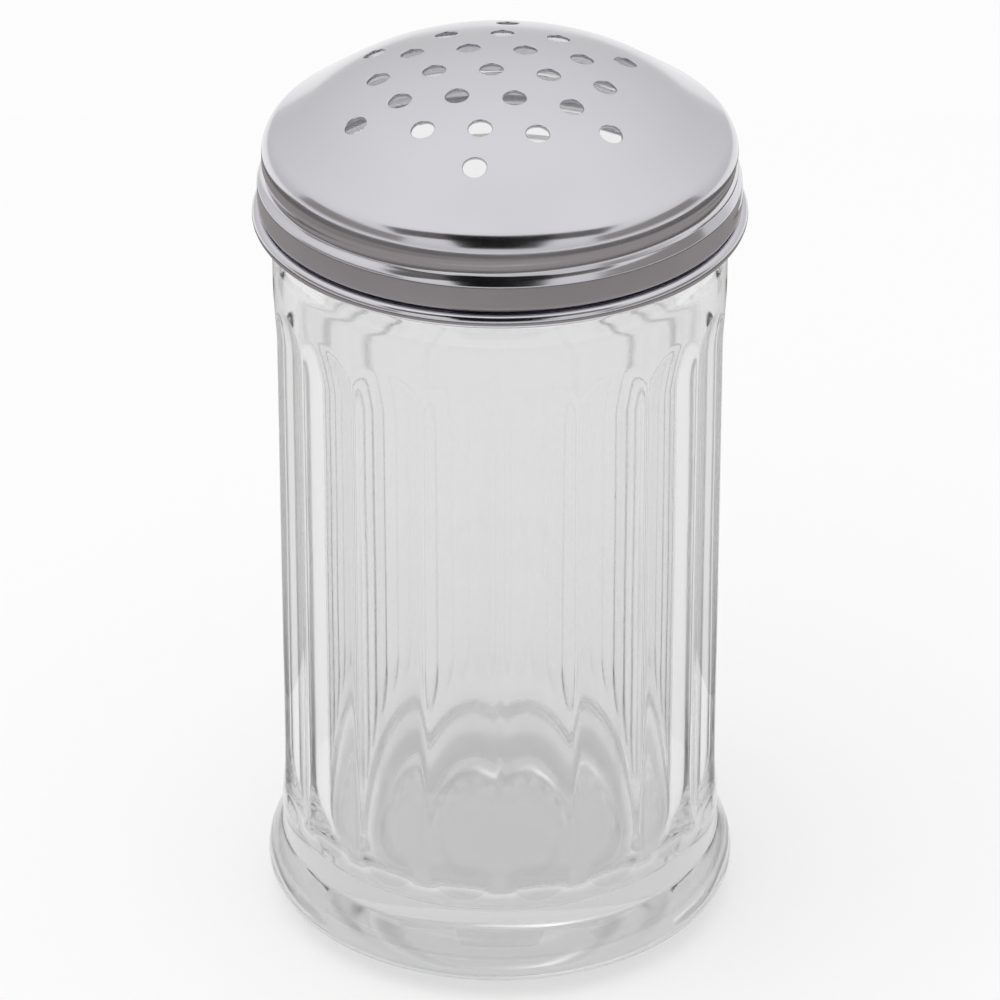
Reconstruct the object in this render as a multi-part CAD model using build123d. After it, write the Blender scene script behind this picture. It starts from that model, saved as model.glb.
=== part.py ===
from build123d import *
import os
from math import acos, atan2, cos, degrees, radians, sin, sqrt, tan

# Glass shaker with a perforated screw lid. Millimetres, +Z up, base centre at the origin.
# One ridge of the fluted glass faces the user, toward -Y.

# Main sizes
JAR_HEIGHT = 135.8         # table to the rim of the glass
BODY_R = 35.2              # plain band of the glass
FOOT_FLARE = 2.4           # the foot stands out past the body
NECK_STEP = 1.3            # the neck draws in from the body
NECK_HEIGHT = 20.8         # from the start of the shoulder's curve to the rim
THREAD_ROOM = 2.2          # between the neck and the inside of the lid's wall
SEAT_GAP = 0.02            # between the rim of the glass and the slope inside the lid

# Foot and floor of the jar
RING_IN_R = 25.2           # flat ring that stands on the table
RING_WIDTH = 1.5
PUSH_UP = 2.1              # hollow under the base
FOOT_Z = 5.8               # height of the widest part
FOOT_CROWN_R = 8.5         # curve of the foot above its widest part
FOOT_BLEND_R = 0.9         # crease between foot and body
FLOOR_Z = 11.4
FLOOR_CROWN = 0.6          # the floor rises toward its middle
FLOOR_CORNER_R = 8.0

# Walls, shoulder and neck of the jar
WALL = 4.0                 # glass behind the plain band
MOUTH_WALL = 3.7           # glass at the mouth
SHOULDER_R = 6.0
NECK_BLEND_R = 1.2
INNER_SHOULDER_R = 8.0
RIM_R = 1.1                # rounding of the rim
BEAD_R = 1.0               # carrying bead round the foot of the neck
BEAD_DROP = 13.4           # from the rim down to the bead

# Flutes
FLUTES = 18
FLUTE_DEPTH = 0.8          # below the straight chord between two ridges
FLUTE_LOW_GAP = 11.4       # plain glass above the widest part of the foot
FLUTE_HIGH_GAP = 5.4       # plain band under the shoulder's curve
RIDGE_DROP = 0.1           # ridges end this far inside the plain band

# Pressed lid; radii and lengths on the outside of the sheet
SHEET = 0.5
CROWN_R = 65.0
CROWN_TURN = 18.0
HAUNCH_R = 32.5            # tighter curve round the crown
HAUNCH_TURN = 17.0
EDGE_R = 4.0               # turn from the dome into the wall
WALL_LENGTH = 5.1
STEP_OUT = 1.4             # the skirt widens below the wall
STEP_R = 1.1
SKIRT_LENGTH = 0.35
TUCK_IN = 1.5              # and draws in above the rolled hem
TUCK_R = 0.8
HEM_DROP = 1.1
HEM_HOLLOW_R = 0.6         # hollow inside the roll
HEM_TURN = 285.0

# Holes of the lid
HOLE_D = 3.6
HOLE_PITCH = 8.9
PATTERN_TURN = -6.0
PATTERN_SHIFT = (-1.3, -1.5)

# Worked out from the sizes above
FOOT_R = BODY_R + FOOT_FLARE
RING_OUT_R = RING_IN_R + RING_WIDTH
NECK_R = BODY_R - NECK_STEP
SHOULDER_Z = JAR_HEIGHT - NECK_HEIGHT
LID_WALL_R = NECK_R + THREAD_ROOM + SHEET


def turned(section):
    """Solid of revolution about Z from a half section drawn as (radius, height)."""
    return revolve(Plane.XZ * section, axis=Axis.Z)


def near(section, radius, height):
    """The section's corner nearest to a radius and height."""
    return section.vertices().sort_by_distance((radius, height))[0]


def bend_for(step, radius):
    """Turn in degrees that an arc of this radius needs to move sideways by a step."""
    return degrees(acos(1 - step / radius))


def jar_outside():
    """Push-up, standing ring, rounded foot, plain body, shoulder and neck."""
    underside = ThreePointArc((0, PUSH_UP), (RING_IN_R / 2, 0.75 * PUSH_UP), (RING_IN_R, 0))
    ring = Line((RING_IN_R, 0), (RING_OUT_R, 0))
    lower_foot = EllipticalCenterArc((RING_OUT_R, FOOT_Z), FOOT_R - RING_OUT_R, FOOT_Z,
                                     start_angle=270, arc_size=90)
    upper_foot = JernArc((FOOT_R, FOOT_Z), (0, 1), FOOT_CROWN_R, bend_for(FOOT_FLARE, FOOT_CROWN_R))
    body = Line(upper_foot @ 1, (BODY_R, SHOULDER_Z))
    shoulder = JernArc(body @ 1, (0, 1), SHOULDER_R, bend_for(NECK_STEP, SHOULDER_R))
    neck = Polyline(shoulder @ 1, (NECK_R, JAR_HEIGHT), (0, JAR_HEIGHT), (0, PUSH_UP))
    section = make_face([underside, ring, lower_foot, upper_foot, body, shoulder, neck])
    section = fillet(near(section, BODY_R, (upper_foot @ 1).Y), FOOT_BLEND_R)
    section = fillet(near(section, NECK_R, (shoulder @ 1).Y), NECK_BLEND_R)
    section = fillet(near(section, NECK_R, JAR_HEIGHT), RIM_R)
    return turned(section)


def jar_cavity():
    """Room inside: crowned floor, straight wall, then in to the mouth."""
    cavity_r = BODY_R - WALL
    mouth_r = NECK_R - MOUTH_WALL
    above = JAR_HEIGHT + 1
    crown = ThreePointArc((0, FLOOR_Z + FLOOR_CROWN), (cavity_r / 2, FLOOR_Z + 0.75 * FLOOR_CROWN),
                          (cavity_r, FLOOR_Z))
    walls = Polyline((cavity_r, FLOOR_Z), (cavity_r, SHOULDER_Z), (mouth_r, SHOULDER_Z + SHOULDER_R),
                     (mouth_r, above), (0, above), crown @ 0)
    section = make_face([crown, walls])
    section = fillet(near(section, cavity_r, FLOOR_Z), FLOOR_CORNER_R)
    section = fillet(near(section, cavity_r, SHOULDER_Z), INNER_SHOULDER_R)
    section = fillet(near(section, mouth_r, SHOULDER_Z + SHOULDER_R), INNER_SHOULDER_R)
    return turned(section)


def flute_cutter():
    """One flute on the +X side: a round-ended rod that runs out of the body at both ends."""
    half_pitch = radians(180 / FLUTES)
    ridge_r = BODY_R - RIDGE_DROP
    half_chord = ridge_r * sin(half_pitch)
    valley_r = ridge_r * cos(half_pitch) - FLUTE_DEPTH
    radius = (half_chord ** 2 + FLUTE_DEPTH ** 2) / (2 * FLUTE_DEPTH)
    run_out = sqrt(radius ** 2 - (radius - (BODY_R - valley_r)) ** 2)
    low = FOOT_Z + FLUTE_LOW_GAP + run_out
    high = SHOULDER_Z - FLUTE_HIGH_GAP - run_out
    rod = Cylinder(radius, high - low, align=(Align.CENTER, Align.CENTER, Align.MIN))
    ends = Sphere(radius) + Pos(0, 0, high - low) * Sphere(radius)
    return Pos(valley_r + radius, 0, low) * (rod + ends)


def glass_jar():
    """The pressed glass jar, with its flutes and the carrying bead of its neck."""
    jar = jar_outside() - jar_cavity()
    mouth = jar.edges().filter_by(GeomType.CIRCLE).sort_by_distance((NECK_R - MOUTH_WALL, 0, JAR_HEIGHT))[0]
    jar = fillet(mouth, RIM_R)
    first = 180 / FLUTES - 90
    jar = jar - [Rot(0, 0, first + 360 / FLUTES * n) * flute_cutter() for n in range(FLUTES)]
    return jar + Pos(0, 0, JAR_HEIGHT - BEAD_DROP) * Torus(NECK_R, BEAD_R)


def crown_height():
    """Height of the lid's crown that rests the slope inside the lid on the rounded rim."""
    crown = radians(CROWN_TURN)
    fall = radians(CROWN_TURN + HAUNCH_TURN)
    haunch_end_r = CROWN_R * sin(crown) + HAUNCH_R * (sin(fall) - sin(crown))
    dome_drop = CROWN_R * (1 - cos(crown)) + HAUNCH_R * (cos(crown) - cos(fall))
    stand_off = (RIM_R + SEAT_GAP + SHEET) / cos(fall)
    slope_drop = (NECK_R - RIM_R - haunch_end_r) * tan(fall)
    return JAR_HEIGHT - RIM_R + stand_off + slope_drop + dome_drop


def lid_line(inset):
    """One side of the lid's sheet from crown to hem, as (radius, height); inset 0 is its outside."""
    edge_turn = 90 - CROWN_TURN - HAUNCH_TURN
    step_turn = bend_for(STEP_OUT / 2, STEP_R)
    tuck_turn = bend_for(TUCK_IN / 2, TUCK_R)
    edge_start_r = LID_WALL_R - EDGE_R + (EDGE_R - inset) * cos(radians(edge_turn))
    crown = JernArc((0, crown_height() - inset), (1, 0), CROWN_R - inset, -CROWN_TURN)
    haunch = JernArc(crown @ 1, crown % 1, HAUNCH_R - inset, -HAUNCH_TURN)
    slope_length = (edge_start_r - (haunch @ 1).X) / (haunch % 1).X
    slope = Line(haunch @ 1, haunch @ 1 + haunch % 1 * slope_length)
    edge = JernArc(slope @ 1, slope % 1, EDGE_R - inset, -edge_turn)
    wall = Line(edge @ 1, edge @ 1 - (0, WALL_LENGTH))
    step_out = JernArc(wall @ 1, wall % 1, STEP_R + inset, step_turn)
    step_back = JernArc(step_out @ 1, step_out % 1, STEP_R - inset, -step_turn)
    skirt = Line(step_back @ 1, step_back @ 1 - (0, SKIRT_LENGTH))
    tuck_in = JernArc(skirt @ 1, skirt % 1, TUCK_R - inset, -tuck_turn)
    tuck_back = JernArc(tuck_in @ 1, tuck_in % 1, TUCK_R + inset, tuck_turn)
    hem_wall = Line(tuck_back @ 1, tuck_back @ 1 - (0, HEM_DROP))
    hem = JernArc(hem_wall @ 1, hem_wall % 1, HEM_HOLLOW_R + inset, HEM_TURN)
    return Wire([crown, haunch, slope, edge, wall, step_out, step_back, skirt, tuck_in, tuck_back,
                 hem_wall, hem])


def lid_pressing():
    """The domed and rolled sheet before it is punched."""
    outer = lid_line(0)
    inner = lid_line(SHEET)
    ends = [Line(outer @ 0, inner @ 0), Line(outer @ 1, inner @ 1)]
    return turned(make_face(outer.edges() + inner.edges() + ends))


def punch(reach, azimuth):
    """A punch square to the dome, at a distance from the crown measured along the sheet."""
    line = lid_line(0)
    point = line.position_at(reach, position_mode=PositionMode.LENGTH)
    run = line.tangent_at(reach, position_mode=PositionMode.LENGTH)
    tilt = degrees(atan2(-run.Y, run.X))
    place = Rot(0, 0, azimuth) * Pos(point.X, 0, point.Y) * Rot(0, tilt, 0)
    return place * Cylinder(HOLE_D / 2, 6 * SHEET)


def punches():
    """Holes on a triangular grid: a hexagon of nineteen, and one more beyond each of its sides."""
    row = HOLE_PITCH * sqrt(3) / 2
    rings = [(HOLE_PITCH, 0), (2 * HOLE_PITCH, 0), (2 * row, 30), (3 * row, 30)]
    grid = [punch(0, 0)] + [punch(reach, first + 60 * n) for reach, first in rings for n in range(6)]
    return [Pos(*PATTERN_SHIFT, 0) * Rot(0, 0, PATTERN_TURN) * hole for hole in grid]


def perforated_lid():
    """The lid: punched dome, plain wall for the thread, widened skirt and rolled hem."""
    return lid_pressing() - punches()


os.makedirs("parts", exist_ok=True)
export_step(glass_jar(), "parts/glass_jar.step")
export_step(perforated_lid(), "parts/perforated_lid.step")
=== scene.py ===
# %% [markdown]
# A restaurant shaker for spice, sugar or grated cheese: a heavy fluted jar of pressed glass under
# a domed lid of polished stainless steel, punched with twenty-five holes and screwed on. The
# lesson dresses the two solids of the part. It keeps their sizes and adds what the solids leave
# out: the melted-soft flutes, the screw thread, the drawn edges of the holes, and both finishes.

# %% Load the frame
import bpy
from math import acos, asin, atan2, cos, degrees, exp, hypot, log, pi, radians, sin, sqrt
from mathutils import Matrix, Vector


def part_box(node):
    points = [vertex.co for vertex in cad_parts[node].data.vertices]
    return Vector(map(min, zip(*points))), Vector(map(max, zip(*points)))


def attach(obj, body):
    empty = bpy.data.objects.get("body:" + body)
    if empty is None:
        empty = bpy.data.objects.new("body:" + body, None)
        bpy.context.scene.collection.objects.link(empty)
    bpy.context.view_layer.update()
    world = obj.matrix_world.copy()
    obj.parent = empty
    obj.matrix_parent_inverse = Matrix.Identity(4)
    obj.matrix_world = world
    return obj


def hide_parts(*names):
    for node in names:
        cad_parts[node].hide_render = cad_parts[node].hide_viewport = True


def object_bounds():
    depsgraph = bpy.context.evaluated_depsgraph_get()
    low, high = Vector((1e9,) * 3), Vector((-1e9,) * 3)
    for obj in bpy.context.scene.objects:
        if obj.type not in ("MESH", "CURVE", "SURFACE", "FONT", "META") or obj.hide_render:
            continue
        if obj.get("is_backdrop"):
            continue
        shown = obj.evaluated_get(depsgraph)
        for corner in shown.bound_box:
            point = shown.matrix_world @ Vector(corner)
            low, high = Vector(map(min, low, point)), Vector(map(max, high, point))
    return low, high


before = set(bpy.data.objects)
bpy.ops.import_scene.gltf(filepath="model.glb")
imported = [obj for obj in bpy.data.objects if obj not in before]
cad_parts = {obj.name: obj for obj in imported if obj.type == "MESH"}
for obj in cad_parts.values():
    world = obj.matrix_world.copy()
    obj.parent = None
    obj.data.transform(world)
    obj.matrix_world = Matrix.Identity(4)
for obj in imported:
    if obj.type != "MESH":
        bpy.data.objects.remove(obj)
cad_low, cad_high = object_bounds()
MM = 0.001
JAR_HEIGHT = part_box("glass_jar")[1].z / MM
LID_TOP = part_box("perforated_lid")[1].z / MM
print("rim of the glass at", round(JAR_HEIGHT, 2), "mm")
print("crown of the lid at", round(LID_TOP, 2), "mm")

# %% [markdown]
# Both pieces are round, so each is made as a lathe makes it: draw half of the section once, then
# turn it about the axis. A pen that only goes straight or bends by a radius and an angle draws the
# line that a drawing office would, and every bend stays a true arc.

# %% A pen for half sections
class Pen:
    """Draws a half section in mm, radius across and height up. A left turn is positive."""

    def __init__(self, radius, height, heading):
        self.points = [(radius, height)]
        self.heading = heading

    def straight(self, length, steps=1):
        x, y = self.points[-1]
        run = radians(self.heading)
        for n in range(1, steps + 1):
            gone = length * n / steps
            self.points.append((x + gone * cos(run), y + gone * sin(run)))

    def bend(self, radius, turn, steps):
        x, y = self.points[-1]
        side = 90 if turn > 0 else -90
        centre_x = x + radius * cos(radians(self.heading + side))
        centre_y = y + radius * sin(radians(self.heading + side))
        for n in range(1, steps + 1):
            angle = radians(self.heading - side + turn * n / steps)
            self.points.append((centre_x + radius * cos(angle), centre_y + radius * sin(angle)))
        self.heading += turn

    def up_to(self, height, steps=1):
        """Go straight up or down, as the pen is heading, to a height."""
        self.straight(abs(height - self.points[-1][1]), steps)


def lean_for(step, radius):
    """The angle an arc turns through to move sideways by a step."""
    return degrees(acos(1 - step / radius))


def cap_radius(half_width, rise):
    """The radius of an arc, from half of its width and its rise."""
    return (half_width ** 2 + rise ** 2) / (2 * rise)


print("the pen is ready")

# %% [markdown]
# In Blender a turned shape starts as a single point. Extruding it along the section draws a wire,
# and Spin sweeps the wire once round. A Screw modifier could do the same, but Spin leaves a plain
# mesh that the next steps can shape. The seam and the poles are then merged, so the skin is
# closed, and only after that are the normals made to face out.

# %% Turn a wire into a piece
MERGE = 0.002


def turned(name, points, columns):
    """A surface of revolution from a half section."""
    bpy.ops.object.select_all(action="DESELECT")
    bpy.ops.mesh.primitive_plane_add(size=MM)
    piece = bpy.context.object
    piece.name = name
    bpy.ops.object.mode_set(mode="EDIT")
    bpy.ops.mesh.merge(type="CENTER")
    places = [Vector((radius * MM, 0, height * MM)) for radius, height in points]
    bpy.ops.transform.translate(value=places[0])
    for before, after in zip(places, places[1:]):
        bpy.ops.mesh.extrude_region_move(TRANSFORM_OT_translate={"value": after - before})
    bpy.ops.mesh.select_all(action="SELECT")
    bpy.ops.mesh.spin(steps=columns, angle=2 * pi, center=(0, 0, 0), axis=(0, 0, 1))
    bpy.ops.mesh.select_all(action="SELECT")
    bpy.ops.mesh.remove_doubles(threshold=MERGE * MM)
    bpy.ops.mesh.normals_make_consistent(inside=False)
    bpy.ops.object.mode_set(mode="OBJECT")
    return piece


print("points nearer than", MERGE, "mm are merged")

# %% [markdown]
# Most operators act on whatever is selected, so every helper first selects its own piece and
# nothing else. Modifiers are applied as soon as they have done their work, because the next step
# measures and moves the points that they made.

# %% Select, apply and smooth
def select_only(piece):
    bpy.ops.object.select_all(action="DESELECT")
    piece.select_set(True)
    bpy.context.view_layer.objects.active = piece


def apply_all(piece):
    """Apply every modifier of a piece, in order."""
    select_only(piece)
    for modifier in list(piece.modifiers):
        bpy.ops.object.modifier_apply(modifier=modifier.name)


def smooth(piece, crease):
    """Shade smooth, and keep edges sharper than the crease angle."""
    select_only(piece)
    bpy.ops.object.shade_smooth_by_angle(angle=radians(crease))


print("selecting, applying and smoothing are ready")

# %% [markdown]
# The jar stands on a ring round a hollow base, so that it doesn't rock. From the ring the heavy
# foot swells as a quarter of an ellipse, rounds over its crown and runs into the body. A flame
# melts pressed glass after the mould opens, so it has no sharp line, and every corner here is a
# small arc. A Bevel modifier could round them too, but it gives one radius to all, and these
# differ.

# %% Draw the base and the foot
BODY_R = 35.2
FOOT_R = 37.6


def draw_foot(pen, push_up):
    ring_in, ring_out, lip_r = 25.2, 26.7, 1.0
    hollow_r = cap_radius(ring_in, push_up)
    hollow_turn = lean_for(push_up, hollow_r + lip_r)
    pen.bend(hollow_r, -hollow_turn, 14)
    pen.bend(lip_r, hollow_turn, 3)
    pen.straight(ring_out - pen.points[-1][0], 3)
    widest_z, swell = 5.8, FOOT_R - ring_out
    for turn in range(5, 91, 5):
        across, up = swell * sin(radians(turn)), widest_z * (1 - cos(radians(turn)))
        pen.points.append((ring_out + across, up))
    pen.heading = 90
    crown_r, blend_r = 8.5, 0.9
    lean = lean_for(FOOT_R - BODY_R, crown_r + blend_r)
    pen.bend(crown_r, lean, 12)
    pen.bend(blend_r, -lean, 8)


PUSH_UP = 2.1
jar_pen = Pen(0, PUSH_UP, 0)
draw_foot(jar_pen, PUSH_UP)
print("the foot ends at", round(jar_pen.points[-1][1], 2), "mm")

# %% [markdown]
# The body goes straight up, and the flutes are pressed into it later. Above it a round shoulder
# leads to the neck. The bead round the neck is what the hot jar was carried by. Rows of points lie
# close together where a flute will run out or the thread will wind, because only points can be
# moved, and wide apart between.

# %% Draw the body and the neck
NECK_R = 33.9
SHOULDER_Z = 115.0
FLUTE_LOW = 17.2
FLUTE_HIGH = 109.6
THREAD_LOW = 124.0
RIM_R = 1.1


def draw_body_and_neck(pen):
    margin, run_out_rows = 0.8, 9
    pen.up_to(FLUTE_LOW - margin, 4)
    pen.up_to(FLUTE_LOW + run_out_rows, 24)
    pen.up_to(FLUTE_HIGH - run_out_rows, 10)
    pen.up_to(FLUTE_HIGH + margin, 24)
    pen.up_to(SHOULDER_Z, 3)
    shoulder_r, blend_r = 6.0, 1.2
    lean = lean_for(BODY_R - NECK_R, shoulder_r + blend_r)
    pen.bend(shoulder_r, lean, 8)
    pen.bend(blend_r, -lean, 5)
    bead_z, bead_r, bead_blend = 122.4, 1.0, 0.4
    lean = lean_for(bead_r, bead_r + bead_blend)
    pen.up_to(bead_z - (bead_r + bead_blend) * sin(radians(lean)))
    pen.bend(bead_blend, -lean, 4)
    pen.bend(bead_r, 2 * lean, 10)
    pen.bend(bead_blend, -lean, 4)
    pen.up_to(THREAD_LOW)
    pen.up_to(JAR_HEIGHT - RIM_R, 36)


draw_body_and_neck(jar_pen)
print("the neck ends at", round(jar_pen.points[-1][1], 2), "mm")

# %% [markdown]
# A plunger presses the inside, so it has no flutes: a mouth, a slightly wider room below it, a
# round corner and a floor that rises a little in the middle. It is drawn in one line with the
# outside. The wall is then glass all through, and light is bent at both of its faces. A single
# skin without an inside would look like a solid block.

# %% Draw the rim and the inside
def draw_inside(pen):
    mouth_r, cavity_r = 30.2, 31.2
    pen.bend(RIM_R, 90, 8)
    pen.straight(NECK_R - mouth_r - 2 * RIM_R)
    pen.bend(RIM_R, 90, 8)
    slope_r, drop, across = 8.0, 6.0, cavity_r - mouth_r
    lean = degrees(atan2(across, drop))
    rounding = slope_r * (1 - cos(radians(lean))) / sin(radians(lean))
    pen.up_to(SHOULDER_Z + drop + rounding, 3)
    pen.bend(slope_r, lean, 3)
    pen.straight(sqrt(across ** 2 + drop ** 2) - 2 * rounding, 2)
    pen.bend(slope_r, -lean, 3)
    floor_z, floor_rise, corner_r = 11.4, 0.6, 8.0
    floor_r = cap_radius(cavity_r, floor_rise)
    reach = cavity_r - corner_r
    centres_apart = floor_r + corner_r
    corner_z = floor_z + floor_rise - floor_r + sqrt(centres_apart ** 2 - reach ** 2)
    lean = degrees(asin(reach / centres_apart))
    pen.up_to(corner_z, 12)
    pen.bend(corner_r, -90 - lean, 14)
    pen.bend(floor_r, lean, 14)


draw_inside(jar_pen)
FLUTES = 18
COLUMNS_PER_FLUTE = 20
jar = turned("jar", jar_pen.points, FLUTES * COLUMNS_PER_FLUTE)
print("section of", len(jar_pen.points), "points ends at radius", round(jar_pen.points[-1][0], 3))
print("the jar has", len(jar.data.polygons), "faces")

# %% [markdown]
# The flutes and both threads are shallow forms on a round skin. A Boolean could cut them, but it
# leaves knife edges and torn faces. Here each point is given a weight from 0 to 1 instead, and a
# Displace modifier moves the skin by that share of a reach.

# %% Move the skin by a weight
def push(piece, name, reach, amount):
    """Move the skin along its normals by a reach in mm times amount(x, y, z), from 0 to 1."""
    group = piece.vertex_groups.new(name=name)
    for vertex in piece.data.vertices:
        share = amount(*(c / MM for c in vertex.co))
        if share > 0:
            group.add([vertex.index], share, "REPLACE")
    displace = piece.modifiers.new(name, "DISPLACE")
    displace.vertex_group = name
    displace.mid_level = 0
    displace.strength = reach * MM
    apply_all(piece)
    piece.vertex_groups.remove(piece.vertex_groups[name])


print("a weight can push the skin")

# %% [markdown]
# A flute is a shallow round groove, and the mould cuts eighteen of them side by side, so that only
# a narrow ridge is left between two. The weight comes from the real cutter, a round-ended rod that
# lies along the body: its depth in the middle, its run-out at both ends, and the ridge between two
# rods all follow from one radius. Where two surfaces meet they are blended over a fraction of a
# millimetre, as melted glass is.

# %% Press the flutes
half_pitch = radians(180 / FLUTES)
ridge_r = BODY_R - 0.1
flute_depth = 0.8
valley_r = ridge_r * cos(half_pitch) - flute_depth
cutter_r = cap_radius(ridge_r * sin(half_pitch), flute_depth)
run_out = sqrt(cutter_r ** 2 - (cutter_r - BODY_R + valley_r) ** 2)
REACH = BODY_R - valley_r
MELT = 0.16
TAKEN_BACK = 0.3


def blended_max(values, width):
    """The largest value, with the corner between two values rounded over a width.

    The blend lifts values that are nearly alike, and a share of that is taken back."""
    top = max(values)
    lift = width * log(sum(exp((v - top) / width) for v in values))
    return top + lift - width * log(len(values)) * TAKEN_BACK


def cut_at(off_centre, height):
    """How deep the rod cuts below the plain body, at an angle from its own axis."""
    end = max(FLUTE_LOW + run_out - height, height - (FLUTE_HIGH - run_out), 0)
    rod = valley_r + cutter_r
    side = cutter_r ** 2 - end ** 2 - (rod * sin(off_centre)) ** 2
    if side <= 0:
        return -REACH
    return BODY_R - (rod * cos(off_centre) - sqrt(side))


def flute_share(x, y, z):
    if hypot(x, y) < BODY_R - 0.5 or not FLUTE_LOW - 1 < z < FLUTE_HIGH + 1:
        return 0
    turn = (atan2(y, x) - radians(-90)) % (2 * half_pitch)
    cuts = [cut_at(off, z) for off in (turn - half_pitch, turn + half_pitch, 3 * half_pitch - turn)]
    return max(0, min(1, blended_max([*cuts, 0], MELT) / REACH))


push(jar, "flutes", -REACH, flute_share)
print("flutes", round(REACH, 2), "mm below the plain band, run-out", round(run_out, 2), "mm")

# %% [markdown]
# One and a quarter turns of a soft thread wind round the neck. They start a little left of the
# front and climb against the clock as seen from above, as right-hand threads do. It is the same
# trick with the sign turned round: the weight follows the helix, and Displace raises it.

# %% Wind the thread of the neck
PITCH = 4.233
TAPER = 0.06
THREAD_TURNS = 1.25
THREAD_HEIGHT = 1.3


def helix_share(x, y, z, start, first_z, turns, foot_width, top_width):
    """1 on the top of the nearest turn of a helix, falling to 0 at its foot and its two ends."""
    turn = ((atan2(y, x) - radians(start)) % (2 * pi)) / (2 * pi)
    best = 0
    for lap in (turn, turn + 1):
        if lap > turns:
            continue
        away = abs(z - first_z - PITCH * lap)
        slope = min(1, max(0, (foot_width / 2 - away) / ((foot_width - top_width) / 2)))
        taper = min(1, lap / TAPER, (turns - lap) / TAPER)
        best = max(best, slope * slope * (3 - 2 * slope) * taper)
    return best


def thread_share(x, y, z):
    if z < THREAD_LOW or hypot(x, y) < NECK_R - 0.2:
        return 0
    return helix_share(x, y, z, start=-112, first_z=125.9, turns=THREAD_TURNS,
                       foot_width=2.7, top_width=0.7)


push(jar, "thread", THREAD_HEIGHT, thread_share)
smooth(jar, 40)
print("thread climbs", round(PITCH * THREAD_TURNS, 1), "mm")

# %% [markdown]
# The lid is drawn from steel sheet half a millimetre thick: a crown, a tighter haunch, a straight
# slope, then a turn down into the wall, out over a small step, and back in above a rolled hem that
# hides the raw edge. Only the outside is drawn, and Solidify then gives the sheet its thickness on
# the inside. A bend that closes round the inside needs a radius larger than the sheet, or the two
# skins cross and no Boolean can cut them.

# %% Draw the lid
SHEET = 0.5
LID_WALL_R = 36.6
CROWN_R, CROWN_TURN = 65.0, 18.0
HAUNCH_R, HAUNCH_TURN = 32.5, 17.0
EDGE_R = 4.0


def lid_section():
    pen = Pen(0, LID_TOP, 0)
    pen.bend(CROWN_R, -CROWN_TURN, 26)
    pen.bend(HAUNCH_R, -HAUNCH_TURN, 14)
    fall = radians(CROWN_TURN + HAUNCH_TURN)
    edge_start = LID_WALL_R - EDGE_R * (1 - sin(fall))
    pen.straight((edge_start - pen.points[-1][0]) / cos(fall), 8)
    pen.bend(EDGE_R, -90 + CROWN_TURN + HAUNCH_TURN, 20)
    wall, flank, skirt, tuck = 3.0, 1.375, 3.39, 1.1
    open_r, step_r, tuck_r, hem_r = 0.3, 0.6, 0.8, 0.6
    step_turn, tuck_turn, hem_turn = 28, 76.9, 285
    pen.straight(wall, 16)
    pen.bend(open_r, step_turn, 4)
    pen.straight(flank, 6)
    pen.bend(step_r, -step_turn, 6)
    pen.straight(skirt, 18)
    pen.bend(tuck_r, -tuck_turn, 9)
    pen.bend(open_r, tuck_turn, 6)
    pen.straight(tuck, 3)
    pen.bend(hem_r, hem_turn, 24)
    return pen.points


lid_points = lid_section()
print("lid of", len(lid_points), "points, hem at", round(min(p[1] for p in lid_points), 2), "mm")

# %% [markdown]
# A roller presses the thread's groove into the wall of the finished lid, which grips the glass
# thread from outside. It is a helix as the neck's thread is, pushed inwards by a third of a
# millimetre before the sheet gets its thickness, so that it shows on both sides.

# %% Spin the lid and roll its groove
LID_COLUMNS = 264
GROOVE_LOW = 125.5
GROOVE_DEPTH = 0.35


def groove_share(x, y, z):
    if z < GROOVE_LOW or hypot(x, y) < LID_WALL_R - 2.5:
        return 0
    return helix_share(x, y, z, start=-20, first_z=126.3, turns=1.3,
                       foot_width=3.4, top_width=0.4)


lid = turned("lid", lid_points, LID_COLUMNS)
push(lid, "groove", -GROOVE_DEPTH, groove_share)
sheet = lid.modifiers.new("sheet", "SOLIDIFY")
sheet.thickness = SHEET * MM
sheet.offset = -1
sheet.use_even_offset = True
apply_all(lid)
print("the lid has", len(lid.data.polygons), "faces before it is punched")

# %% [markdown]
# Twenty-five holes stand on a triangular grid: a hexagon of nineteen, and one more beyond the
# middle of each of its sides. A cheap lid is punched a little off the centre and turned, and so is
# the grid. Its distances are measured along the sheet, so that the holes keep their spacing where
# the dome falls away.

# %% Find the places of the holes
HOLE_PITCH = 8.8
PATTERN_TURN = -6.4
PATTERN_SHIFT = (-1.3, -3.1)


def dome_at(radius):
    """Height of the dome's outside and its fall in radians, at a distance from the axis."""
    crown_end = CROWN_R * sin(radians(CROWN_TURN))
    if radius <= crown_end:
        fall = asin(radius / CROWN_R)
        return LID_TOP - CROWN_R * (1 - cos(fall)), fall
    haunch_start = crown_end - HAUNCH_R * sin(radians(CROWN_TURN))
    fall = asin((radius - haunch_start) / HAUNCH_R)
    crown_drop = CROWN_R * (1 - cos(radians(CROWN_TURN)))
    haunch_drop = HAUNCH_R * (cos(radians(CROWN_TURN)) - cos(fall))
    return LID_TOP - (crown_drop + haunch_drop), fall


def sheet_reach(reach):
    """Radius on the dome after going a distance along the sheet from the crown."""
    crown_run = CROWN_R * radians(CROWN_TURN)
    if reach <= crown_run:
        return CROWN_R * sin(reach / CROWN_R)
    turn = radians(CROWN_TURN) + (reach - crown_run) / HAUNCH_R
    crown_end = CROWN_R * sin(radians(CROWN_TURN))
    return crown_end + HAUNCH_R * (sin(turn) - sin(radians(CROWN_TURN)))


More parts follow.
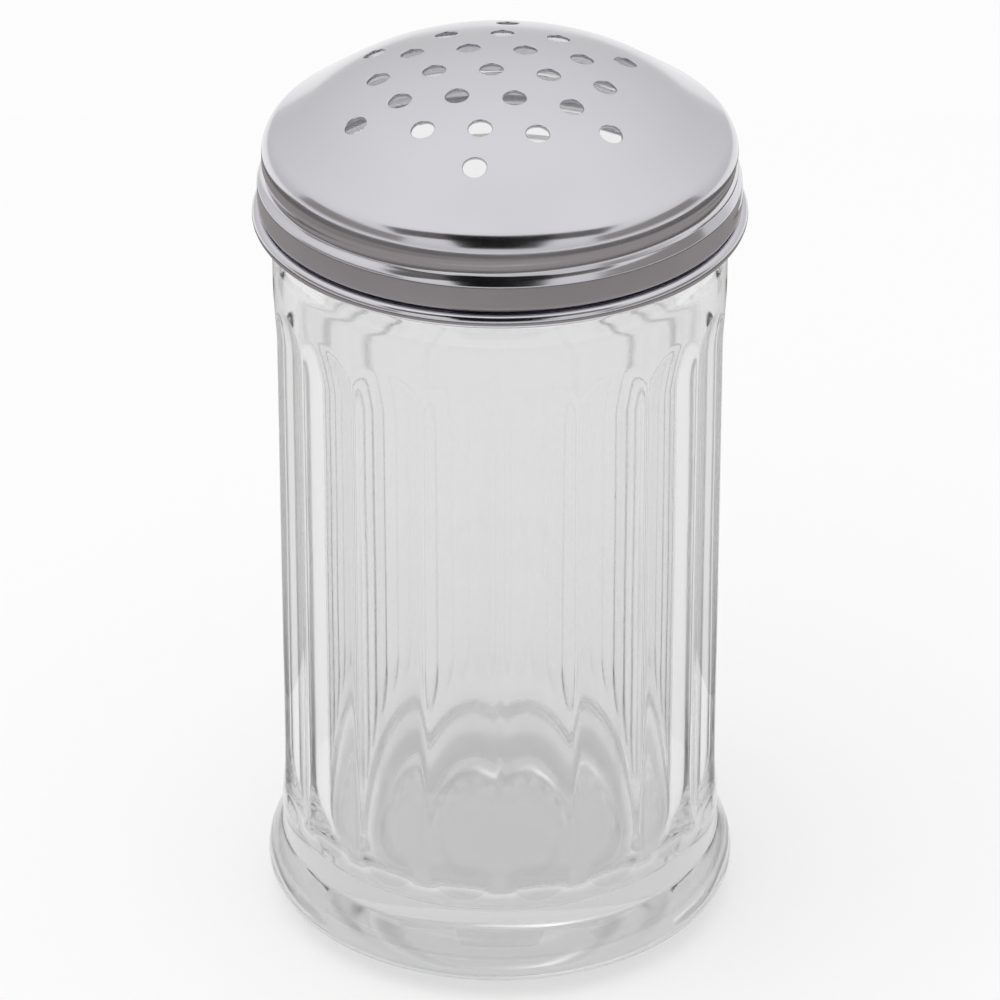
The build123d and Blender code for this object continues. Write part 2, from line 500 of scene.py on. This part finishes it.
def hole_places():
    row = HOLE_PITCH * sqrt(3) / 2
    places = [(0, 0)]
    for reach, first in ((HOLE_PITCH, 0), (2 * HOLE_PITCH, 0), (2 * row, 30), (3 * row, 30)):
        for n in range(6):
            turn = radians(first + 60 * n + PATTERN_TURN)
            places.append((sheet_reach(reach) * cos(turn), sheet_reach(reach) * sin(turn)))
    return [(x + PATTERN_SHIFT[0], y + PATTERN_SHIFT[1]) for x, y in places]


print(len(hole_places()), "holes, the farthest",
      round(max(hypot(x, y) for x, y in hole_places()), 1), "mm from the axis")

# %% [markdown]
# A punch enters square to the dome and draws its edge in a little, so each hole has a soft lip
# instead of a knife edge. The punch itself is turned with that lip on it, copied to the
# twenty-five places, and all are taken away from the dome with one Boolean. A bevel after the cut
# would be harder, because a round hole in a curved sheet has no even edge to follow.

# %% Make the punches
HOLE_R = 1.8
LIP = 0.22
BELOW, ABOVE = 2.5, 1.0
punch_pen = Pen(0, -BELOW, 0)
punch_pen.straight(HOLE_R)
punch_pen.heading = 90
punch_pen.up_to(-LIP, 2)
punch_pen.bend(LIP, -90, 6)
punch_pen.heading = 90
punch_pen.straight(ABOVE)
punch_pen.heading = 180
punch_pen.straight(HOLE_R + LIP)
punch = turned("punch", punch_pen.points, 40)
punches = []
for x, y in hole_places():
    height, fall = dome_at(hypot(x, y))
    placed = punch.copy()
    placed.data = punch.data.copy()
    bpy.context.collection.objects.link(placed)
    stand = Matrix.Translation(Vector((x, y, height)) * MM)
    bearing, lean = Matrix.Rotation(atan2(y, x), 4, "Z"), Matrix.Rotation(fall, 4, "Y")
    placed.matrix_world = stand @ bearing @ lean
    punches.append(placed)
bpy.ops.object.select_all(action="DESELECT")
for placed in punches:
    placed.select_set(True)
bpy.context.view_layer.objects.active = punches[0]
bpy.ops.object.join()
punch_set = bpy.context.object
print(len(punches), "punches of", len(punch.data.polygons), "faces each")

# %% [markdown]
# The Boolean leaves long thin faces round every hole, and a mirror finish would show them. So a
# copy of the dome is kept from before the punching. It still has perfect normals, and Data
# Transfer takes them from it, for every point in the top 14 mm of the lid outside the lip of a
# hole.

# %% Punch the holes and keep the dome's normals
smooth_dome = lid.copy()
smooth_dome.data = lid.data.copy()
bpy.context.collection.objects.link(smooth_dome)
smooth(smooth_dome, 60)
cut = lid.modifiers.new("holes", "BOOLEAN")
cut.operation = "DIFFERENCE"
cut.solver = "EXACT"
cut.object = punch_set
apply_all(lid)
smooth(lid, 35)
DOME_DEPTH = 14
LIP_END = HOLE_R + 0.9 * LIP


def away_from_holes(place):
    x, y, z = (c / MM for c in place)
    if z < LID_TOP - DOME_DEPTH:
        return False
    return all(hypot(x - hx, y - hy) > LIP_END for hx, hy in hole_places())


outside = lid.vertex_groups.new(name="dome")
outside.add([v.index for v in lid.data.vertices if away_from_holes(v.co)], 1, "REPLACE")
transfer = lid.modifiers.new("normals", "DATA_TRANSFER")
transfer.object = smooth_dome
transfer.use_loop_data = True
transfer.data_types_loops = {"CUSTOM_NORMAL"}
transfer.loop_mapping = "POLYINTERP_NEAREST"
transfer.vertex_group = "dome"
apply_all(lid)
for spare in (smooth_dome, punch_set, punch):
    bpy.data.objects.remove(spare)
print("the punched lid has", len(lid.data.polygons), "faces")

# %% [markdown]
# Glass and steel that are handled all day carry the same faint marks: patches where fingers have
# been and the gloss is a little softer. One node group makes that patchy roughness, and each
# material places it with its own scale and its own clean and worn values.

# %% A shader group for handling marks
def handling_marks():
    group = bpy.data.node_groups.new("handling_marks", "ShaderNodeTree")
    group.interface.new_socket("Vector", in_out="INPUT", socket_type="NodeSocketVector")
    for name, value in (("Scale", 60.0), ("Clean", 0.1), ("Worn", 0.2)):
        socket = group.interface.new_socket(name, in_out="INPUT", socket_type="NodeSocketFloat")
        socket.default_value = value
    group.interface.new_socket("Roughness", in_out="OUTPUT", socket_type="NodeSocketFloat")
    inside = group.nodes.new("NodeGroupInput")
    outside = group.nodes.new("NodeGroupOutput")
    noise = group.nodes.new("ShaderNodeTexNoise")
    noise.inputs["Detail"].default_value = 5
    noise.inputs["Roughness"].default_value = 0.6
    spread = group.nodes.new("ShaderNodeMapRange")
    spread.inputs["From Min"].default_value = 0.38
    spread.inputs["From Max"].default_value = 0.68
    group.links.new(inside.outputs["Vector"], noise.inputs["Vector"])
    group.links.new(inside.outputs["Scale"], noise.inputs["Scale"])
    group.links.new(noise.outputs["Fac"], spread.inputs["Value"])
    group.links.new(inside.outputs["Clean"], spread.inputs["To Min"])
    group.links.new(inside.outputs["Worn"], spread.inputs["To Max"])
    group.links.new(spread.outputs["Result"], outside.inputs["Roughness"])
    return group


MARKS = handling_marks()
print("group", MARKS.name, "is ready")

# %% [markdown]
# Every finish starts with the same few nodes: a Principled shader, Object coordinates that stay
# with the piece when it moves, noise for soft unevenness, and a bump that turns height into a
# changed normal. They are written once as helpers, so a material below reads as a list of what the
# finish is made of.

# %% Helpers for every material
def new_material(name):
    material = bpy.data.materials.new(name)
    material.use_nodes = True
    tree = material.node_tree
    return material, tree, tree.nodes["Principled BSDF"]


def object_place(tree):
    return tree.nodes.new("ShaderNodeTexCoord").outputs["Object"]


def add_marks(tree, shader, place, scale, clean, worn):
    marks = tree.nodes.new("ShaderNodeGroup")
    marks.node_tree = MARKS
    marks.inputs["Scale"].default_value = scale
    marks.inputs["Clean"].default_value = clean
    marks.inputs["Worn"].default_value = worn
    tree.links.new(place, marks.inputs["Vector"])
    tree.links.new(marks.outputs["Roughness"], shader.inputs["Roughness"])


def noise_height(tree, place, scale, detail, stretch=(1, 1, 1)):
    mapping = tree.nodes.new("ShaderNodeMapping")
    mapping.inputs["Scale"].default_value = stretch
    noise = tree.nodes.new("ShaderNodeTexNoise")
    noise.inputs["Scale"].default_value = scale
    noise.inputs["Detail"].default_value = detail
    tree.links.new(place, mapping.inputs["Vector"])
    tree.links.new(mapping.outputs["Vector"], noise.inputs["Vector"])
    return noise.outputs["Fac"]


def bump(tree, height, distance, strength, under=None):
    node = tree.nodes.new("ShaderNodeBump")
    node.inputs["Distance"].default_value = distance
    node.inputs["Strength"].default_value = strength
    tree.links.new(height, node.inputs["Height"])
    if under is not None:
        tree.links.new(under, node.inputs["Normal"])
    return node.outputs["Normal"]


print("the material helpers are ready")

# %% [markdown]
# Soda-lime glass bends light by about 1.52 and is never quite colourless. The shader's colour dims
# each face a little, and the absorption dims by depth, so the thick foot and a wall seen edge on
# come out greyer than a thin wall. A pressed wall isn't flat either: the gob cools in the mould
# with soft waves a centimetre or two long, and they are what makes cheap glass shimmer. A low bump
# carries them.

# %% Pressed glass
def pressed_glass():
    material, tree, shader = new_material("pressed_glass")
    place = object_place(tree)
    shader.inputs["Base Color"].default_value = (0.882, 0.882, 0.884, 1)
    shader.inputs["Transmission Weight"].default_value = 1
    shader.inputs["IOR"].default_value = 1.52
    add_marks(tree, shader, place, scale=70, clean=0.04, worn=0.09)
    depth = tree.nodes.new("ShaderNodeVolumeAbsorption")
    depth.inputs["Color"].default_value = (0.5, 0.5, 0.51, 1)
    depth.inputs["Density"].default_value = 5
    tree.links.new(depth.outputs["Volume"], tree.nodes["Material Output"].inputs["Volume"])
    waves = noise_height(tree, place, scale=60, detail=1, stretch=(1, 1, 0.5))
    tree.links.new(bump(tree, waves, distance=0.0006, strength=0.25), shader.inputs["Normal"])
    return material


jar.data.materials.append(pressed_glass())
print("glass:", jar.data.materials[0].name)

# %% [markdown]
# The lid is stainless steel polished on a turning wheel. The wheel leaves very fine rings round
# the axis, which soften a reflection across them and hardly show in themselves. The shader's own
# Anisotropic value could stretch the reflections too, but few other programs read it. Here the
# rings are noise read along the section alone, from the distance to the axis and the height.

# %% Polished steel
def along_section(tree, place):
    """Distance from the axis as X and height as Y, which are the same all the way round."""
    split = tree.nodes.new("ShaderNodeSeparateXYZ")
    flat = tree.nodes.new("ShaderNodeVectorMath")
    flat.operation = "MULTIPLY"
    flat.inputs[1].default_value = (1, 1, 0)
    reach = tree.nodes.new("ShaderNodeVectorMath")
    reach.operation = "LENGTH"
    along = tree.nodes.new("ShaderNodeCombineXYZ")
    tree.links.new(place, split.inputs[0])
    tree.links.new(place, flat.inputs[0])
    tree.links.new(flat.outputs[0], reach.inputs[0])
    tree.links.new(reach.outputs["Value"], along.inputs["X"])
    tree.links.new(split.outputs["Z"], along.inputs["Y"])
    return along.outputs[0]


def polished_steel():
    material, tree, shader = new_material("polished_steel")
    place = object_place(tree)
    shader.inputs["Metallic"].default_value = 1
    add_marks(tree, shader, place, scale=55, clean=0.13, worn=0.21)
    rings = noise_height(tree, along_section(tree, place), scale=2600, detail=3)
    wander = noise_height(tree, place, scale=45, detail=2)
    uneven = bump(tree, wander, distance=0.0004, strength=0.12)
    ringed = bump(tree, rings, distance=0.00002, strength=0.18, under=uneven)
    tree.links.new(ringed, shader.inputs["Normal"])
    tone = tree.nodes.new("ShaderNodeMix")
    tone.data_type = "RGBA"
    tone.inputs["A"].default_value = (0.68, 0.67, 0.705, 1)
    tone.inputs["B"].default_value = (0.74, 0.73, 0.77, 1)
    tree.links.new(noise_height(tree, place, scale=30, detail=4), tone.inputs["Factor"])
    tree.links.new(tone.outputs["Result"], shader.inputs["Base Color"])
    return material


lid.data.materials.append(polished_steel())
print("steel:", lid.data.materials[0].name)

# %% [markdown]
# Each dressed piece now stands for its solid: it rides on the same body and hides the plain mesh.

# %% Hand the pieces to the frame
for piece, body, node, slot in (
    (jar, "jar", "glass_jar", "glass"),
    (lid, "lid", "perforated_lid", "steel"),
):
    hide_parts(node)
    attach(piece, body)
    print(piece.name, "rides on", body, "and has", len(piece.data.polygons), "faces")

# %% [markdown]
# The set stands on pale paper. Paper that is only lit comes out grey when the lamp is low, and a
# stronger lamp would burn out the steel. So the paper glows a little where a ray looks straight at
# it, less through glass, and not at all for the light that it throws on the part. It stays white
# to the camera, and the part's shadow still falls on it.

# %% Paper floor
def either(tree, first, second):
    node = tree.nodes.new("ShaderNodeMath")
    node.operation = "MAXIMUM"
    tree.links.new(first, node.inputs[0])
    tree.links.new(second, node.inputs[1])
    return node.outputs[0]


def times(tree, value, factor):
    node = tree.nodes.new("ShaderNodeMath")
    node.operation = "MULTIPLY"
    node.inputs[1].default_value = factor
    tree.links.new(value, node.inputs[0])
    return node.outputs[0]


def paper(glow, glow_through_glass):
    material, tree, shader = new_material("floor_paper")
    shader.inputs["Base Color"].default_value = (0.96, 0.96, 0.96, 1)
    shader.inputs["Roughness"].default_value = 0.9
    path = tree.nodes.new("ShaderNodeLightPath")
    direct = either(tree, path.outputs["Is Camera Ray"], path.outputs["Is Glossy Ray"])
    through = times(tree, path.outputs["Is Transmission Ray"], glow_through_glass)
    white = tree.nodes.new("ShaderNodeEmission")
    blend = tree.nodes.new("ShaderNodeMixShader")
    tree.links.new(either(tree, times(tree, direct, glow), through), blend.inputs[0])
    tree.links.new(shader.outputs[0], blend.inputs[1])
    tree.links.new(white.outputs[0], blend.inputs[2])
    tree.links.new(blend.outputs[0], tree.nodes["Material Output"].inputs["Surface"])
    return material


FLOOR_R = 4
bpy.ops.object.select_all(action="DESELECT")
bpy.ops.mesh.primitive_circle_add(vertices=96, radius=FLOOR_R, fill_type="NGON")
ground = bpy.context.object
ground.name = "floor"
ground.data.materials.append(paper(glow=0.55, glow_through_glass=0.25))
ground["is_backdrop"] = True
print(ground.name, "is", FLOOR_R, "m in radius")

# %% [markdown]
# Polished steel shows whatever stands round it, so the room is lit in two ways. What is seen
# through glass or behind the part is plain white. What is seen in a reflection is brighter
# overhead than at the horizon, as under a softbox, which gives the dome its slow change of tone.

# %% White surround
def surround(diffuse_level, horizon_level, overhead_level):
    world = bpy.data.worlds.new("surround")
    bpy.context.scene.world = world
    world.use_nodes = True
    tree = world.node_tree
    tree.nodes.clear()
    path = tree.nodes.new("ShaderNodeLightPath")
    split = tree.nodes.new("ShaderNodeSeparateXYZ")
    climb = tree.nodes.new("ShaderNodeMapRange")
    climb.inputs["From Min"].default_value = 0.1
    climb.inputs["From Max"].default_value = 0.9
    climb.inputs["To Min"].default_value = horizon_level
    climb.inputs["To Max"].default_value = overhead_level
    tree.links.new(tree.nodes.new("ShaderNodeTexCoord").outputs["Generated"], split.inputs[0])
    tree.links.new(split.outputs["Z"], climb.inputs["Value"])
    reflected = tree.nodes.new("ShaderNodeMix")
    reflected.inputs["A"].default_value = diffuse_level
    tree.links.new(path.outputs["Is Glossy Ray"], reflected.inputs["Factor"])
    tree.links.new(climb.outputs["Result"], reflected.inputs["B"])
    seen = tree.nodes.new("ShaderNodeMix")
    seen.inputs["B"].default_value = 1.0
    plain = either(tree, path.outputs["Is Camera Ray"], path.outputs["Is Transmission Ray"])
    tree.links.new(plain, seen.inputs["Factor"])
    tree.links.new(reflected.outputs["Result"], seen.inputs["A"])
    light = tree.nodes.new("ShaderNodeBackground")
    tree.links.new(seen.outputs["Result"], light.inputs["Strength"])
    tree.links.new(light.outputs[0], tree.nodes.new("ShaderNodeOutputWorld").inputs[0])


surround(diffuse_level=1.0, horizon_level=0.85, overhead_level=1.15)
print("the studio is white all round")

# %% [markdown]
# The lid needs something dark to show its form, so a studio stands dark cards just out of view. A
# black one over the camera draws the dark arc on the dome, a wide grey one behind and above it
# softens that arc, and two low ones at the sides turn the lid's wall away from white. Only
# reflections see them, so they neither shade the part nor show behind it.

# %% Cards that only reflections see
WARMTH = (1, 0.95, 0.92)


def flag(name, grey):
    """Turn the active object into a card that only reflections see."""
    card = bpy.context.object
    card.name = name
    material, tree, shader = new_material(name)
    shader.inputs["Base Color"].default_value = (0, 0, 0, 1)
    shader.inputs["Specular IOR Level"].default_value = 0
    shader.inputs["Emission Color"].default_value = (*(grey * share for share in WARMTH), 1)
    shader.inputs["Emission Strength"].default_value = 1
    card.data.materials.append(material)
    card.visible_camera = False
    card.visible_diffuse = False
    card.visible_transmission = False
    card.visible_shadow = False
    card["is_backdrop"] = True


def upright_card(name, grey, place, lean, turn, size):
    bpy.ops.object.select_all(action="DESELECT")
    bpy.ops.mesh.primitive_plane_add(size=1, location=place,
                                     rotation=(radians(lean), 0, radians(turn)))
    bpy.ops.object.mode_set(mode="EDIT")
    bpy.ops.transform.resize(value=(*size, 1), orient_type="LOCAL")
    bpy.ops.object.mode_set(mode="OBJECT")
    flag(name, grey)


upright_card("flag_black", 0.0, place=(0, -0.83, 0.92), lean=47, turn=0, size=(0.8, 1.24))
upright_card("flag_grey", 0.14, place=(0, -0.64, 1.17), lean=47, turn=0, size=(2.2, 0.62))
upright_card("flag_left", 0.30, place=(-1.1, -0.3, 0.46), lean=90, turn=105, size=(1.3, 0.5))
upright_card("flag_right", 0.30, place=(1.1, -0.3, 0.46), lean=90, turn=-105, size=(1.3, 0.5))
print("four cards are up")

# %% [markdown]
# The step and the skirt of the lid look down, at the table. A real set ends there in a darker rim,
# and here two grey rings lie on the paper, a lighter one near the part and a darker one beyond it.
# Both are cut off straight behind the part, so that the back of the dome, which sees the floor at
# a slant, stays clean.

# %% Apron on the floor
APRON_BACK = 0.28


def apron(name, grey, inner, outer):
    bpy.ops.object.select_all(action="DESELECT")
    bpy.ops.mesh.primitive_circle_add(vertices=64, radius=inner, location=(0, 0, 0.0005))
    bpy.ops.object.mode_set(mode="EDIT")
    bpy.ops.mesh.select_all(action="SELECT")
    bpy.ops.mesh.extrude_region_move()
    bpy.ops.transform.resize(value=(outer / inner, outer / inner, 1))
    bpy.ops.mesh.select_all(action="SELECT")
    bpy.ops.mesh.bisect(plane_co=(0, APRON_BACK, 0), plane_no=(0, 1, 0), clear_outer=True)
    bpy.ops.object.mode_set(mode="OBJECT")
    flag(name, grey)


apron("apron_near", 0.34, inner=0.09, outer=0.29)
apron("apron_far", 0.16, inner=0.29, outer=1.08)
print("the apron is cut off", APRON_BACK, "m behind the axis")

# %% [markdown]
# One large lamp, high on the left, lays a soft shadow to the right. The camera looks down on the
# part at thirty degrees through a long lens, so that the jar's sides stay nearly straight. Light
# has to pass many walls of glass, so the renderer may follow it for more turns than it usually
# does.

# %% Lamp and camera
bpy.ops.object.light_add(type="AREA", location=(-0.4, -0.3, 1.5))
lamp = bpy.context.object
lamp.name = "softbox"
lamp.data.shape = "SQUARE"
lamp.data.size = 1.6
lamp.data.energy = 8
lamp.visible_glossy = False
middle = Vector((0, 0, 0.07))
lamp.rotation_euler = (middle - lamp.location).to_track_quat("-Z", "Y").to_euler()

CAMERA_PLACE = (0, -0.8691, 0.5647)
CAMERA_TILT = 60.35
bpy.ops.object.camera_add(location=CAMERA_PLACE, rotation=(radians(CAMERA_TILT), 0, 0))
camera = bpy.context.object
camera.data.sensor_width = 36
camera.data.lens = 227.8
camera.data.clip_end = 50
bpy.context.scene.camera = camera
bpy.context.scene.view_settings.view_transform = "Standard"
bpy.context.scene.cycles.max_bounces = 32
bpy.context.scene.cycles.transmission_bounces = 32
bpy.context.scene.cycles.glossy_bounces = 16
print("camera", round(camera.location.length, 3), "m away")

# %% [markdown]
# Last, the size of the dressed part is set against the size of the two solids. They must agree,
# because the solids are what collides and stacks.

# %% Sizes
low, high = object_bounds()
gaps = [round((a - b) / MM, 3) for a, b in zip([*low, *high], [*cad_low, *cad_high])]
print("solid and dressed sizes differ by", gaps, "mm")
